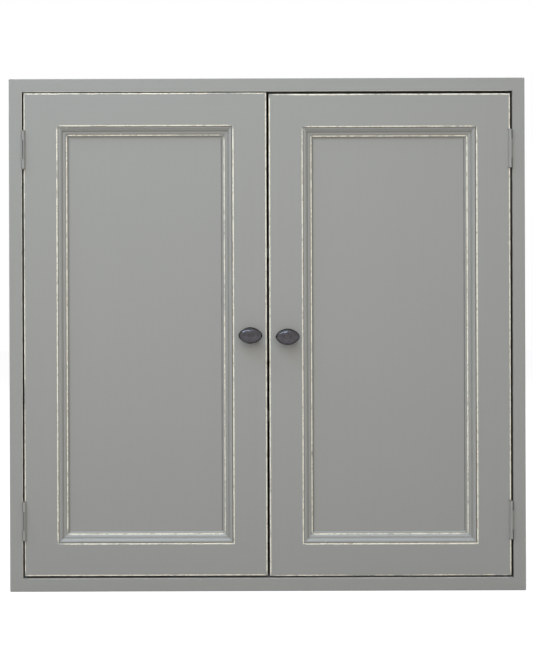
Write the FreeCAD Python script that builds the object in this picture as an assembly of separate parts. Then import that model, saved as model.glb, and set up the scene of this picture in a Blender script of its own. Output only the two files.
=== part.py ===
import FreeCAD, Part
import math
import os

# Two-door wall cupboard in painted boards. The carcass is rebated, with a tongued and grooved
# back and two housed shelves. Each inset door is a mortised frame round a flat panel, with a
# mitred moulding planted on it, and hangs on two butt hinges.
# Millimetres. +Z is up and the front faces -Y. The origin is the centre of the underside.

# Carcass
width = 800.0
height = 795.0
depth = 300.0
board_thickness = 20.5
carcass_arris = 1.5            # rounding of the outer edges
housing_depth = 7.0            # how far the ends of top, bottom and shelves are let into the sides
housing_play = 0.3             # at the end of a shelf, in its housing

# Shelves
shelf_count = 2
shelf_thickness = 18.0
shelf_setback = 28.0           # from the carcass front to a shelf's front edge
shelf_arris = 1.2

# Back boards
back_count = 7
back_thickness = 10.0
back_lap = 10.0                # how far the rebate reaches into the carcass boards
back_play = 0.5                # round the whole back, in its rebate
back_seam = 0.4                # between two boards' shoulders
back_vee = 2.0                 # chamfer along the boards' inner edges
tongue_length = 4.0
tongue_thickness = 3.2
tongue_play = 0.3

# Hanging rail
rail_height = 70.0
rail_thickness = 18.0
rail_arris = 1.2
wall_hole_radius = 3.25
wall_hole_inset = 70.0         # from the outside of the carcass to a wall screw

# Doors
door_thickness = 20.5
hinge_gap = 2.2                # between a door's hinge edge and the carcass side
meeting_gap = 3.4              # between the two doors
meeting_offset = 1.2           # the meeting gap's centre lies this far right of the middle
top_gap = {"left": 1.6, "right": 3.9}
bottom_gap = {"left": 3.7, "right": 2.8}
stile_width = 53.0
door_rail_width = {"top": 51.8, "bottom": 50.8}
door_arris = 0.9               # rounding of the frame's front edges

# Door joints and panel
tenon_length = 32.0
tenon_thickness = 6.5
tenon_setback = 12.0           # from the door's end to the tenon
mortise_play = 0.5             # at the end of a tenon
panel_sink = 11.5              # from the frame's face to the panel's face
panel_thickness = 6.0
groove_depth = 9.0
panel_play = 1.0               # from the panel's edge to the bottom of its groove

# Panel moulding. The section starts at the frame's inner edge. Each point is a share of the
# moulding's width, then a share of the panel's sink below the frame's face. The last share is
# the bulge of the arc that ends there, as a part of its chord: hollow above zero, round below.
moulding_width = 17.2
moulding_shares = [
    (0.00, 0.20, 0.0),         # quirk floor
    (0.07, 0.20, 0.0),
    (0.07, 0.08, 0.0),
    (0.13, 0.08, 0.0),         # crest
    (0.44, 0.48, -0.14),       # round shoulder
    (0.51, 0.48, 0.0),
    (0.72, 0.68, -0.12),       # second shoulder
    (0.79, 0.68, 0.0),         # fillet
    (0.79, 0.75, 0.0),
    (0.97, 0.97, 0.18),        # cove down to the panel
    (1.00, 0.97, 0.0),
]

# Butt hinges
hinge_height = 60.0
hinge_inset = 110.0            # from the carcass's top and bottom to a hinge's middle
leaf_thickness = 1.6
leaf_depth = 18.0              # along the door's edge, from its face
leaf_spacing = 1.2             # between the two leaves of a closed hinge
leaf_seat_play = 0.2           # round a leaf in its recess
knuckle_radius = 2.7
end_knuckle_length = 15.0      # the frame leaf's two; the door leaf's knuckle lies between them
knuckle_gap = 0.3              # between two knuckles
barrel_clearance = 0.4         # round the knuckles, to the door, the carcass and the other leaf
pin_radius = 1.2
pin_clearance = 0.05

# Countersunk screws of the hinges and strike plates. Screws are drawn with flats.
screw_sides = 8
screw_radius = 1.5
screw_head_radius = 2.9
screw_play = 0.1
hinge_screw_length = 14.0
hinge_screw_spacing = 34.0     # between the two screws of a leaf
strike_screw_length = 12.0

# Knobs
knob_inset = {"left": 25.7, "right": 28.3}     # from the door's meeting edge
knob_height = {"left": 397.0, "right": 394.7}  # above the underside
knob_length = 38.8
knob_breadth = 26.6
knob_projection = 24.0
knob_sides = 32                # flats round the oval
knob_screw_radius = 2.0
knob_screw_grip = 9.0          # thread inside the knob
knob_screw_head_radius = 4.2
knob_screw_head_height = 2.4

# Sections of the knob from its foot to its crown: share of the projection, then share of the
# length and breadth. All are ovals of one shape.
knob_shares = [
    (0.00, 0.46), (0.09, 0.46), (0.16, 0.36), (0.30, 0.31), (0.42, 0.56), (0.52, 0.82), (0.60, 0.96),
    (0.66, 1.00), (0.75, 0.955), (0.85, 0.83), (0.93, 0.64), (0.98, 0.40), (1.00, 0.18),
]

# Magnetic catches
catch_offset = 27.0            # from the meeting gap's centre to a catch's middle
catch_length = 44.0
catch_body_length = 28.0
catch_depth = 14.0
catch_height = 15.0
catch_ear_thickness = 3.0
catch_gap = 0.3                # between the magnet and the strike plate of a shut door
catch_play = 0.2               # round the magnet, in its case
magnet_length = 24.0
magnet_height = 8.0
magnet_depth = 10.0
magnet_proud = 0.6
magnet_drop = 9.3              # from the top board to the magnet's middle
catch_screw_radius = 1.5
catch_screw_length = 12.0
catch_screw_head_radius = 2.8
catch_screw_head_height = 1.8
strike_length = 34.0
strike_height = 10.0
strike_thickness = 1.4

# How far a cut runs past the face that it leaves by
overrun = 1.0

# Two places nearer than this count as one
same_place = 0.001

# Places worked out from the sizes
across = FreeCAD.Vector(1, 0, 0)
backwards = FreeCAD.Vector(0, 1, 0)
upwards = FreeCAD.Vector(0, 0, 1)
front = -depth / 2
rear = depth / 2
inner_x = width / 2 - board_thickness
floor_z = board_thickness
ceiling_z = height - board_thickness
back_front = rear - back_thickness
axis_x = inner_x - leaf_thickness - leaf_spacing / 2
axis_y = front - knuckle_radius - barrel_clearance
hinge_middles = [hinge_inset, height - hinge_inset]
door_back = front + door_thickness
magnet_z = ceiling_z - magnet_drop
shelf_clear = (ceiling_z - floor_z - shelf_count * shelf_thickness) / (shelf_count + 1)
side_sign = {"left": -1, "right": 1}


def box(low, high):
    corner = FreeCAD.Vector(*low)
    size = FreeCAD.Vector(*high) - corner
    return Part.makeBox(size.x, size.y, size.z, corner)


def joined(shapes):
    return shapes[0].fuse(shapes[1:]).removeSplitter()


def rounded(shape, radius, chosen):
    return shape.makeFillet(radius, [edge for edge in shape.Edges if chosen(edge)])


def lies_at(edge, direction, place):
    # True for an edge whose ends are both at this place along the direction
    return all(abs(vertex.Point.dot(direction) - place) < same_place for vertex in edge.Vertexes)


def runs_along(edge, direction):
    # True for a straight edge parallel to the direction
    ends = [vertex.Point for vertex in edge.Vertexes]
    return len(ends) == 2 and (ends[1] - ends[0]).cross(direction).Length < same_place


def ring(centre, first_axis, second_axis, half_first, half_second, sides):
    # Points round an oval, with a flat at the end of each axis
    turns = [2 * math.pi * (i + 0.5) / sides for i in range(sides)]
    first, second = first_axis * half_first, second_axis * half_second
    return [centre + first * math.cos(turn) + second * math.sin(turn) for turn in turns]


def faceted(rings):
    # A closed solid of flat faces through rings of points
    faces = [Part.Face(Part.makePolygon(end + end[:1])) for end in (rings[0], rings[-1])]
    for low, high in zip(rings, rings[1:]):
        for i in range(len(low)):
            corners = [low[i - 1], low[i], high[i], high[i - 1], low[i - 1]]
            faces.append(Part.Face(Part.makePolygon(corners)))
    solid = Part.makeSolid(Part.makeShell(faces))
    if solid.Volume < 0:
        solid.reverse()
    return solid


def screw_form(start, direction, stations):
    # stations are distances from the start, each with its radius
    first_axis = across if direction.dot(across) == 0 else backwards
    second_axis = direction.cross(first_axis)
    rings = [ring(start + direction * distance, first_axis, second_axis, radius, radius, screw_sides)
             for distance, radius in stations]
    return faceted(rings)


def export(name, shape):
    shape.exportStep("parts/" + name + ".step")


# Carcass

def carcass_shell():
    shell = box((-width / 2, front, 0), (width / 2, rear, height))
    shell = rounded(shell, carcass_arris, lambda edge: not lies_at(edge, backwards, rear))
    shell = shell.cut(box((-inner_x, front - overrun, floor_z), (inner_x, rear + overrun, ceiling_z)))
    lap_x = inner_x + back_lap
    return shell.cut(box((-lap_x, back_front, floor_z - back_lap),
                         (lap_x, rear + overrun, ceiling_z + back_lap)))


def end_board(low_z, high_z):
    # The space of the top or bottom board, with its ends let into the sides
    reach = inner_x + housing_depth
    return box((-reach, front - overrun, low_z), (reach, rear + overrun, high_z))


def shelf_heights():
    return [floor_z + shelf_clear + i * (shelf_clear + shelf_thickness) for i in range(shelf_count)]


def shelf_housing(low_z):
    reach = inner_x + housing_depth
    return box((-reach, front + shelf_setback, low_z), (reach, rear, low_z + shelf_thickness))


def shelf(low_z):
    reach = inner_x + housing_depth - housing_play
    plank = box((-reach, front + shelf_setback, low_z), (reach, back_front, low_z + shelf_thickness))
    return rounded(plank, shelf_arris, lambda edge: lies_at(edge, backwards, front + shelf_setback)
                   and runs_along(edge, across))


def carcass_side(shell, side):
    reach = side_sign[side] * width
    slab = box((min(0, reach), front - overrun, -overrun),
               (max(0, reach), rear + overrun, height + overrun))
    plank = shell.common(slab)
    plank = plank.cut([end_board(-overrun, floor_z), end_board(ceiling_z, height + overrun)])
    plank = plank.cut([shelf_housing(low_z) for low_z in shelf_heights()])
    return plank.cut([mirrored(hole, side) for hole in frame_screws(screw_play)])


# Back and hanging rail

def back_board(index):
    # The section of one board, seen from above, drawn from its inner left corner
    span = 2 * (inner_x + back_lap - back_play)
    pitch = span / back_count
    left = -span / 2 + index * pitch + (back_seam / 2 if index > 0 else 0)
    right = -span / 2 + (index + 1) * pitch - (back_seam / 2 if index < back_count - 1 else 0)
    middle = (back_front + rear) / 2
    half = tongue_thickness / 2
    points = [(left, rear), (right, rear)]
    if index < back_count - 1:
        tip = right + tongue_length
        points += [(right, middle + half), (tip, middle + half),
                   (tip, middle - half), (right, middle - half)]
    points += [(right, back_front + back_vee), (right - back_vee, back_front),
               (left + back_vee, back_front), (left, back_front + back_vee)]
    if index > 0:
        mouth = half + tongue_play / 2
        floor = left + tongue_length + back_seam + tongue_play
        points += [(left, middle - mouth), (floor, middle - mouth),
                   (floor, middle + mouth), (left, middle + mouth)]
    low_z = floor_z - back_lap + back_play
    corners = [FreeCAD.Vector(x, y, low_z) for x, y in points]
    section = Part.Face(Part.makePolygon(corners + corners[:1]))
    plank = section.extrude(upwards * (ceiling_z + back_lap - back_play - low_z))
    return plank.cut(wall_holes())


def wall_holes():
    start_y = back_front - rail_thickness - overrun
    length = rail_thickness + back_thickness + 2 * overrun
    hole_x = width / 2 - wall_hole_inset
    hole_z = ceiling_z - rail_height / 2
    return [Part.makeCylinder(wall_hole_radius, length, FreeCAD.Vector(x, start_y, hole_z), backwards)
            for x in (-hole_x, hole_x)]


def hanging_rail():
    rail_front = back_front - rail_thickness
    low_z = ceiling_z - rail_height
    rail = box((-inner_x, rail_front, low_z), (inner_x, back_front, ceiling_z))
    rail = rounded(rail, rail_arris, lambda edge: lies_at(edge, backwards, rail_front)
                   and lies_at(edge, upwards, low_z))
    return rail.cut(wall_holes())


# Screws, and the holes that take them

def countersunk(head, direction, plate, length, play):
    # The head fills the plate's whole thickness
    return screw_form(head, direction, [(0, screw_head_radius + play), (plate, screw_radius + play),
                                        (length + play, screw_radius + play)])


def headed(seat, direction, grip, radius, head_radius, head_height):
    # A screw whose head stands on its seat, with its shank along the direction
    stations = [(0, head_radius), (head_height, head_radius),
                (head_height, radius), (head_height + grip, radius)]
    return screw_form(seat - direction * head_height, direction, stations)


def shank_hole(seat, direction, grip, radius, play):
    # The hole for a headed screw's shank, open at its seat
    return screw_form(seat - direction * overrun, direction,
                      [(0, radius + play), (overrun + grip + play, radius + play)])


def hinge_screws(head_x, direction, play):
    # The screws of both right-hand hinges, in the leaf whose bare face is at head_x
    screws = []
    for middle in hinge_middles:
        for offset in (-hinge_screw_spacing / 2, hinge_screw_spacing / 2):
            head = FreeCAD.Vector(head_x, front + leaf_depth / 2, middle + offset)
            screws.append(countersunk(head, direction, leaf_thickness, hinge_screw_length, play))
    return screws


def frame_screws(play):
    return hinge_screws(inner_x - leaf_thickness, across, play)


def door_screws(play):
    return hinge_screws(inner_x - leaf_thickness - leaf_spacing, -across, play)


# Hinges, drawn at the right-hand side of the carcass

def mirrored(shape, side):
    return shape if side == "right" else shape.mirror(FreeCAD.Vector(), across)


def knuckles(middle):
    # Low end and length of the three knuckles
    low_z = middle - hinge_height / 2
    middle_length = hinge_height - 2 * (end_knuckle_length + knuckle_gap)
    return [(low_z, end_knuckle_length), (low_z + end_knuckle_length + knuckle_gap, middle_length),
            (low_z + hinge_height - end_knuckle_length, end_knuckle_length)]


def barrel_piece(radius, low_z, length):
    return Part.makeCylinder(radius, length, FreeCAD.Vector(axis_x, axis_y, low_z), upwards)


def hinge_leaf(middle, near_x, far_x, own, others, screw_holes):
    # own and others are the spans of this leaf's knuckles and of the other leaf's
    low_z = middle - hinge_height / 2
    plate = box((near_x, axis_y, low_z), (far_x, front + leaf_depth, low_z + hinge_height))
    room = knuckle_radius + barrel_clearance
    plate = plate.cut([barrel_piece(room, start - knuckle_gap, length + 2 * knuckle_gap)
                       for start, length in others])
    leaf = joined([plate] + [barrel_piece(knuckle_radius, start, length) for start, length in own])
    bore = barrel_piece(pin_radius + pin_clearance, low_z - overrun, hinge_height + 2 * overrun)
    return leaf.cut([bore] + screw_holes)


def frame_leaf(middle):
    low, centre, high = knuckles(middle)
    near_x = inner_x - leaf_thickness
    return hinge_leaf(middle, near_x, inner_x, [low, high], [centre], frame_screws(screw_play))


def door_leaf_recess(middle):
    edge_x = inner_x - hinge_gap
    floor_x = inner_x - 2 * leaf_thickness - leaf_spacing
    half = hinge_height / 2 + leaf_seat_play
    return box((floor_x, front - overrun, middle - half),
               (edge_x + overrun, front + leaf_depth + leaf_seat_play, middle + half))


def door_leaf(middle):
    low, centre, high = knuckles(middle)
    far_x = inner_x - leaf_thickness - leaf_spacing
    near_x = far_x - leaf_thickness
    return hinge_leaf(middle, near_x, far_x, [centre], [low, high], door_screws(screw_play))


def hinge_pin(middle):
    return barrel_piece(pin_radius, middle - hinge_height / 2, hinge_height)


# Doors

def door_extent(side):
    low_z = floor_z + bottom_gap[side]
    high_z = ceiling_z - top_gap[side]
    if side == "left":
        return -inner_x + hinge_gap, meeting_offset - meeting_gap / 2, low_z, high_z
    return meeting_offset + meeting_gap / 2, inner_x - hinge_gap, low_z, high_z


def sight_extent(side):
    # The opening inside the door's frame
    x0, x1, z0, z1 = door_extent(side)
    low, high = door_rail_width["bottom"], door_rail_width["top"]
    return x0 + stile_width, x1 - stile_width, z0 + low, z1 - high


def door_frame(side):
    x0, x1, z0, z1 = door_extent(side)
    u0, u1, w0, w1 = sight_extent(side)
    frame = box((x0, front, z0), (x1, door_back, z1))
    frame = frame.cut(box((u0, front - overrun, w0), (u1, door_back + overrun, w1)))
    frame = rounded(frame, door_arris, lambda edge: lies_at(edge, backwards, front))
    groove = box((u0 - groove_depth, front + panel_sink, w0 - groove_depth),
                 (u1 + groove_depth, front + panel_sink + panel_thickness, w1 + groove_depth))
    frame = frame.cut(groove)
    return frame.cut([mirrored(door_leaf_recess(middle), side) for middle in hinge_middles])


def tenon_extents(side):
    # Low and high z of the tenons of each rail
    x0, x1, z0, z1 = door_extent(side)
    shoulder = {which: door_rail_width[which] - groove_depth for which in door_rail_width}
    return {"bottom": (z0 + tenon_setback, z0 + shoulder["bottom"]),
            "top": (z1 - shoulder["top"], z1 - tenon_setback)}


def tenons(side, reach, extent):
    # The tenon stock at both ends of one rail, as one bar across the opening
    u0, u1, w0, w1 = sight_extent(side)
    y0 = front + (door_thickness - tenon_thickness) / 2
    return box((u0 - reach, y0, extent[0]), (u1 + reach, y0 + tenon_thickness, extent[1]))


def door_stile(frame, side, which):
    x0, x1, z0, z1 = door_extent(side)
    u0, u1, w0, w1 = sight_extent(side)
    at_left = (which == "hinge") == (side == "left")
    low_x, high_x = (x0 - overrun, u0) if at_left else (u1, x1 + overrun)
    stile = frame.common(box((low_x, front - overrun, z0 - overrun),
                             (high_x, door_back + overrun, z1 + overrun)))
    reach = tenon_length + mortise_play
    stile = stile.cut([tenons(side, reach, extent) for extent in tenon_extents(side).values()])
    if which == "hinge":
        return stile.cut([mirrored(hole, side) for hole in door_screws(screw_play)])
    return stile.cut([knob_screw(side, screw_play), strike_screw(side, screw_play)])


def door_rail(frame, side, which):
    x0, x1, z0, z1 = door_extent(side)
    u0, u1, w0, w1 = sight_extent(side)
    low_z, high_z = (w1, z1 + overrun) if which == "top" else (z0 - overrun, w0)
    rail = frame.common(box((u0, front - overrun, low_z), (u1, door_back + overrun, high_z)))
    return joined([rail, tenons(side, tenon_length, tenon_extents(side)[which])])


def door_panel(side):
    u0, u1, w0, w1 = sight_extent(side)
    reach = groove_depth - panel_play
    return box((u0 - reach, front + panel_sink, w0 - reach),
               (u1 + reach, front + panel_sink + panel_thickness, w1 + reach))


def moulding_section(corner, inward):
    # The moulding's face at one end of its run
    def place(share):
        return corner + inward * (share[0] * moulding_width) + backwards * (share[1] * panel_sink)
    edges = []
    for start, end in zip(moulding_shares, moulding_shares[1:]):
        a, b, bulge = place(start), place(end), end[2]
        if bulge == 0:
            edges.append(Part.LineSegment(a, b).toShape())
            continue
        chord = b - a
        sideways = inward * -chord.dot(backwards) + backwards * chord.dot(inward)
        edges.append(Part.Arc(a, (a + b) * 0.5 + sideways * bulge, b).toShape())
    seat = corner + backwards * panel_sink
    foot = seat + inward * moulding_width
    edges.append(Part.LineSegment(place(moulding_shares[-1]), foot).toShape())
    edges.append(Part.LineSegment(foot, seat).toShape())
    edges.append(Part.LineSegment(seat, place(moulding_shares[0])).toShape())
    return Part.Face(Part.Wire(edges))


def moulding_run(start, end, inward):
    # One length between two corners of the opening, cut to a mitre at both ends
    run = end - start
    length = moulding_section(start, inward).extrude(run)
    along = FreeCAD.Vector(run).normalize()
    slant = inward * moulding_width
    corners = [start, end, end + slant - along * moulding_width, start + slant + along * moulding_width]
    mitre = Part.Face(Part.makePolygon(corners + corners[:1])).extrude(backwards * panel_sink)
    return length.common(mitre)


def door_mouldings(side):
    u0, u1, w0, w1 = sight_extent(side)
    low_left, low_right = FreeCAD.Vector(u0, front, w0), FreeCAD.Vector(u1, front, w0)
    high_left, high_right = FreeCAD.Vector(u0, front, w1), FreeCAD.Vector(u1, front, w1)
    left_run = moulding_run(low_left, high_left, across)
    right_run = moulding_run(low_right, high_right, -across)
    runs = {"top": moulding_run(high_left, high_right, -upwards),
            "bottom": moulding_run(low_left, low_right, upwards)}
    runs["hinge"], runs["meeting"] = (left_run, right_run) if side == "left" else (right_run, left_run)
    return runs


# Knobs

def knob_place(side):
    x0, x1, z0, z1 = door_extent(side)
    x = x1 - knob_inset[side] if side == "left" else x0 + knob_inset[side]
    return FreeCAD.Vector(x, front, knob_height[side])


def knob(side):
    foot = knob_place(side)
    half_length, half_breadth = knob_length / 2, knob_breadth / 2
    rings = [ring(foot - backwards * (rise * knob_projection), across, upwards,
                  share * half_length, share * half_breadth, knob_sides) for rise, share in knob_shares]
    return faceted(rings).cut(knob_screw(side, screw_play))


def knob_screw(side, play):
    # With play, the hole for its shank, in the stile and the knob
    seat = knob_place(side) + backwards * door_thickness
    grip = door_thickness + knob_screw_grip
    if play:
        return shank_hole(seat, -backwards, grip, knob_screw_radius, play)
    return headed(seat, -backwards, grip, knob_screw_radius,
                  knob_screw_head_radius, knob_screw_head_height)


# Catches

def catch_x(side):
    return meeting_offset + side_sign[side] * catch_offset


def magnet_front():
    return door_back + strike_thickness + catch_gap


def magnet(side, play):
    x = catch_x(side)
    half_x = magnet_length / 2 + play
    half_z = magnet_height / 2 + play
    return box((x - half_x, magnet_front(), magnet_z - half_z),
               (x + half_x, magnet_front() + magnet_depth + play, magnet_z + half_z))


def catch_screw_places(side):
    reach = (catch_length + catch_body_length) / 4
    y = magnet_front() + magnet_proud + catch_depth / 2
    ear_z = ceiling_z - catch_ear_thickness
    return [FreeCAD.Vector(catch_x(side) + sign * reach, y, ear_z) for sign in (-1, 1)]


def catch_case(side):
    x = catch_x(side)
    y0 = magnet_front() + magnet_proud
    y1 = y0 + catch_depth
    half = catch_length / 2
    body_half = catch_body_length / 2
    ears = box((x - half, y0, ceiling_z - catch_ear_thickness), (x + half, y1, ceiling_z))
    body = box((x - body_half, y0, ceiling_z - catch_height), (x + body_half, y1, ceiling_z))
    return joined([ears, body]).cut([magnet(side, catch_play)] + catch_screws(side, screw_play))


def catch_screws(side, play):
    # With play, the holes for their shanks, in the case's ears and the top board
    places = catch_screw_places(side)
    length, radius = catch_screw_length, catch_screw_radius
    if play:
        return [shank_hole(place, upwards, length, radius, play) for place in places]
    head_radius, head_height = catch_screw_head_radius, catch_screw_head_height
    return [headed(place, upwards, length, radius, head_radius, head_height) for place in places]


def strike_screw(side, play):
    head = FreeCAD.Vector(catch_x(side), door_back + strike_thickness, magnet_z)
    return countersunk(head, -backwards, strike_thickness, strike_screw_length, play)


def strike_plate(side):
    x = catch_x(side)
    plate = box((x - strike_length / 2, door_back, magnet_z - strike_height / 2),
                (x + strike_length / 2, door_back + strike_thickness, magnet_z + strike_height / 2))
    return plate.cut(strike_screw(side, screw_play))


# Every piece, by name

def export_on(side, name, shapes):
    # One node of separate solids that are drawn at the right and mirrored to their side
    export(name, Part.makeCompound([mirrored(shape, side) for shape in shapes]))


os.makedirs("parts", exist_ok=True)

shell = carcass_shell()
catch_holes = [hole for side in side_sign for hole in catch_screws(side, screw_play)]
export("top_board", shell.common(end_board(ceiling_z, height + overrun)).cut(catch_holes))
export("bottom_board", shell.common(end_board(-overrun, floor_z)))
for name, low_z in zip(("shelf_lower", "shelf_upper"), shelf_heights()):
    export(name, shelf(low_z))
for index in range(back_count):
    export("back_board_" + str(index + 1), back_board(index))
export("hanging_rail", hanging_rail())

for side in side_sign:
    export(side + "_side", carcass_side(shell, side))
    export_on(side, side + "_hinge_frame_leaves", [frame_leaf(middle) for middle in hinge_middles])
    export_on(side, side + "_hinge_pins", [hinge_pin(middle) for middle in hinge_middles])
    export_on(side, side + "_frame_screws", frame_screws(0))
    export(side + "_catch_case", catch_case(side))
    export(side + "_catch_magnet", magnet(side, 0))
    export(side + "_catch_screws", Part.makeCompound(catch_screws(side, 0)))

for side in side_sign:
    frame = door_frame(side)
    door = side + "_door_"
    for which in ("hinge", "meeting"):
        export(door + which + "_stile", door_stile(frame, side, which))
    for which in ("top", "bottom"):
        export(door + which + "_rail", door_rail(frame, side, which))
    export(door + "panel", door_panel(side))
    for which, run in door_mouldings(side).items():
        export(door + which + "_moulding", run)
    export_on(side, side + "_hinge_door_leaves", [door_leaf(middle) for middle in hinge_middles])
    export_on(side, door + "screws", door_screws(0))
    export(side + "_knob", knob(side))
    export(side + "_knob_screw", knob_screw(side, 0))
    export(side + "_strike_plate", strike_plate(side))
    export(side + "_strike_screw", strike_screw(side, 0))
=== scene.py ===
import math
import bpy
from mathutils import Matrix, Vector


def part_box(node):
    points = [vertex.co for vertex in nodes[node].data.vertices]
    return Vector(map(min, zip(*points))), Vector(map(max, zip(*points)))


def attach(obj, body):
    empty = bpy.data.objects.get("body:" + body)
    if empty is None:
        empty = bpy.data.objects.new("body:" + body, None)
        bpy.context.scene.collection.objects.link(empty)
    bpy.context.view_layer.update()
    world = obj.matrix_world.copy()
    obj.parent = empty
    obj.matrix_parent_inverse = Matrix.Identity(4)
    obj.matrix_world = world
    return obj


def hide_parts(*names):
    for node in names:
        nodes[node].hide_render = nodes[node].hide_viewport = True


# Looks of a painted two-door wall cupboard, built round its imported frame. Metres.
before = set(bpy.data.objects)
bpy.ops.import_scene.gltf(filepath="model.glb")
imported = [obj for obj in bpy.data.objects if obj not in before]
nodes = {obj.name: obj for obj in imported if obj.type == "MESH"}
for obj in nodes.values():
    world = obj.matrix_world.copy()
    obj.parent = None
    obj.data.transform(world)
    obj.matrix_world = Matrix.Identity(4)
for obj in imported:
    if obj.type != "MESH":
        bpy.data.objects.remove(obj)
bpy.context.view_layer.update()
mm = 0.001
sides = ("left", "right")
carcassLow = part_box("left_side")[0]
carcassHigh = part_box("right_side")[1]
print("frame loaded,", len(nodes), "nodes")


# Camera: level, with a shifted lens, so that the doors' faces stay square in the picture
photoView = {
    "distance": 2.06,               # from the carcass's front
    "aside": -0.02,                 # from the carcass's middle to the camera, along X
    "above": 0.07,                  # and along Z
    "imageWide": 533, "imageHigh": 666,
    "cupboardPixels": 516.2,        # the carcass's width in the picture
    "centrePixel": (267.35, 334.7),
    "leanDegrees": 0.185,           # the picture leans this much to the left
    "sensor": 36.0,                 # along the picture's height
}


def makeCamera():
    view = photoView
    middle = Vector(((carcassLow.x + carcassHigh.x) / 2, carcassLow.y, (carcassLow.z + carcassHigh.z) / 2))
    perPixel = (carcassHigh.x - carcassLow.x) / view["cupboardPixels"]
    data = bpy.data.cameras.new("photoCamera")
    data.sensor_width = view["sensor"]
    data.lens = view["sensor"] * view["distance"] / (view["imageHigh"] * perPixel)
    camera = bpy.data.objects.new("photoCamera", data)
    bpy.context.scene.collection.objects.link(camera)
    camera.location = middle + Vector((view["aside"], -view["distance"], view["above"]))
    level = Matrix.Rotation(math.radians(90), 3, "X")
    turn = level @ Matrix.Rotation(math.radians(-view["leanDegrees"]), 3, "Z")
    camera.rotation_euler = turn.to_euler()
    toMiddle = middle - camera.location
    rightPixels = view["centrePixel"][0] - view["imageWide"] / 2
    upPixels = view["imageHigh"] / 2 - view["centrePixel"][1]
    data.shift_x = (toMiddle.dot(turn.col[0]) / perPixel - rightPixels) / view["imageHigh"]
    data.shift_y = (toMiddle.dot(turn.col[1]) / perPixel - upPixels) / view["imageHigh"]
    bpy.context.scene.camera = camera


makeCamera()
bpy.context.scene.view_settings.view_transform = "Standard"
print("camera placed")


# Small helpers for node trees
def addNode(tree, kind, inputs=None, **settings):
    node = tree.nodes.new("ShaderNode" + kind)
    for key, value in settings.items():
        setattr(node, key, value)
    for key, value in (inputs or {}).items():
        if isinstance(value, bpy.types.NodeSocket):
            tree.links.new(value, node.inputs[key])
        else:
            node.inputs[key].default_value = value
    return node


def placeGroup(tree, group, inputs):
    return addNode(tree, "Group", inputs, node_tree=group).outputs


def calc(tree, operation, a, b=None, c=None, clamp=False):
    values = {i: value for i, value in enumerate((a, b, c)) if value is not None}
    return addNode(tree, "Math", values, operation=operation, use_clamp=clamp).outputs[0]


def product(tree, value, *others):
    for other in others:
        value = calc(tree, "MULTIPLY", value, other)
    return value


def hypotenuse(tree, a, b):
    return calc(tree, "SQRT", calc(tree, "MULTIPLY_ADD", a, a, product(tree, b, b)))


def fromMiddle(tree, noiseValue):
    return calc(tree, "SUBTRACT", noiseValue, 0.5)


def fadeOut(tree, distance, reach):
    # From 1 at no distance to 0 at the reach and beyond
    return calc(tree, "SUBTRACT", 1.0, calc(tree, "DIVIDE", distance, reach), clamp=True)


def blendColour(tree, factor, a, b):
    return addNode(tree, "Mix", {0: factor, 6: a, 7: b}, data_type="RGBA").outputs[2]


def blendValue(tree, factor, a, b):
    return addNode(tree, "Mix", {0: factor, 2: a, 3: b}).outputs[0]


def scaleColour(tree, colour, tone):
    return addNode(tree, "VectorMath", {0: colour, "Scale": tone}, operation="SCALE").outputs[0]


def objectSpot(tree):
    return addNode(tree, "TexCoord").outputs["Object"]


def axesOf(tree, vector):
    return addNode(tree, "SeparateXYZ", {0: vector}).outputs


def axesFrom(tree, centre):
    off = addNode(tree, "VectorMath", {0: objectSpot(tree), 1: centre}, operation="SUBTRACT")
    return axesOf(tree, off.outputs[0])


def stretchSpot(tree, spot, scale):
    return addNode(tree, "Mapping", {"Vector": spot, "Scale": scale}).outputs[0]


def noise(tree, spot, scale, detail, seed=None, roughness=0.5, distortion=0.0):
    inputs = {"Vector": spot, "Scale": scale, "Detail": detail, "Roughness": roughness, "Distortion": distortion}
    if seed is None:
        return addNode(tree, "TexNoise", inputs).outputs[0]
    return addNode(tree, "TexNoise", {"W": seed, **inputs}, noise_dimensions="4D").outputs[0]


def startGroup(name, inputs, outputs):
    tree = bpy.data.node_groups.new(name, "ShaderNodeTree")
    for label, kind, value in inputs:
        socket = tree.interface.new_socket(label, in_out="INPUT", socket_type="NodeSocket" + kind)
        socket.default_value = value
    for label, kind in outputs:
        tree.interface.new_socket(label, in_out="OUTPUT", socket_type="NodeSocket" + kind)
    return tree, tree.nodes.new("NodeGroupInput").outputs, tree.nodes.new("NodeGroupOutput").inputs


# Brushed paint: fine strokes along the piece, a slow mottle and a pebbled skin
brushLook = {
    "strokeDetail": 5.0, "strokeRoughness": 0.62, "mottleScale": 6.0, "mottleDetail": 3.0,
    "pebbleScale": 700.0, "pebbleDetail": 2.0, "pebbleShare": 0.25, "roughness": 0.5,
}


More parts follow.
